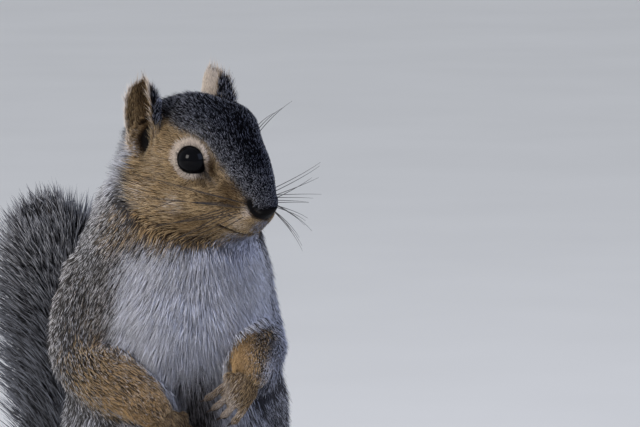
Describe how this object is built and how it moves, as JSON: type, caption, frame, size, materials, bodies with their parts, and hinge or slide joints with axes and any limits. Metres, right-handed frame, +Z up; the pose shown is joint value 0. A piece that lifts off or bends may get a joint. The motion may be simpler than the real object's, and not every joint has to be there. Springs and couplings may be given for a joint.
{
  "type": "grey squirrel figure",
  "caption": "Life-size grey squirrel, upright and alert on its haunches, head turned to its left, forepaws held before the belly and bushy tail raised behind.",
  "frame": {"origin": "middle of the footprint of the whole animal, on the floor it stands on", "axes": "+Z up from the floor to the ears; the squirrel's body faces -Y and its own left side is +X"},
  "size_m": [0.115, 0.1752, 0.2335],
  "materials": {
    "trunk_coat": "grizzled grey fur, white on the chest and belly",
    "neck_coat": "grizzled grey and tan fur",
    "head_coat": "short dark grey and tan fur",
    "foreleg_coat": "short tawny fur",
    "paw_coat": "very short tawny fur",
    "haunch_coat": "grizzled grey fur",
    "tail_coat": "long banded fur with pale tips",
    "ear_skin": "thin skin with a fine pale nap",
    "eye": "wet and glossy, nearly black",
    "nose_pad": "bare, fine grained and slightly moist",
    "claw_horn": "dark polished horn"
  },
  "bodies": {
    "root": {"trunk": "trunk_coat", "neck": "neck_coat", "head": "head_coat", "ear_left": "ear_skin", "ear_right": "ear_skin", "eye_left": "eye", "eye_right": "eye", "nose": "nose_pad", "tail": "tail_coat", "foreleg_left": "foreleg_coat", "foreleg_right": "foreleg_coat", "forepaw_left": "paw_coat", "forepaw_right": "paw_coat", "thigh_left": "haunch_coat", "thigh_right": "haunch_coat", "hind_foot_left": "paw_coat", "hind_foot_right": "paw_coat", "claw_fore_left_1": "claw_horn", "claw_fore_left_2": "claw_horn", "claw_fore_left_3": "claw_horn", "claw_fore_left_4": "claw_horn", "claw_fore_right_1": "claw_horn", "claw_fore_right_2": "claw_horn", "claw_fore_right_3": "claw_horn", "claw_fore_right_4": "claw_horn", "claw_hind_left_1": "claw_horn", "claw_hind_left_2": "claw_horn", "claw_hind_left_3": "claw_horn", "claw_hind_left_4": "claw_horn", "claw_hind_left_5": "claw_horn", "claw_hind_right_1": "claw_horn", "claw_hind_right_2": "claw_horn", "claw_hind_right_3": "claw_horn", "claw_hind_right_4": "claw_horn", "claw_hind_right_5": "claw_horn"}
  },
  "joints": []
}
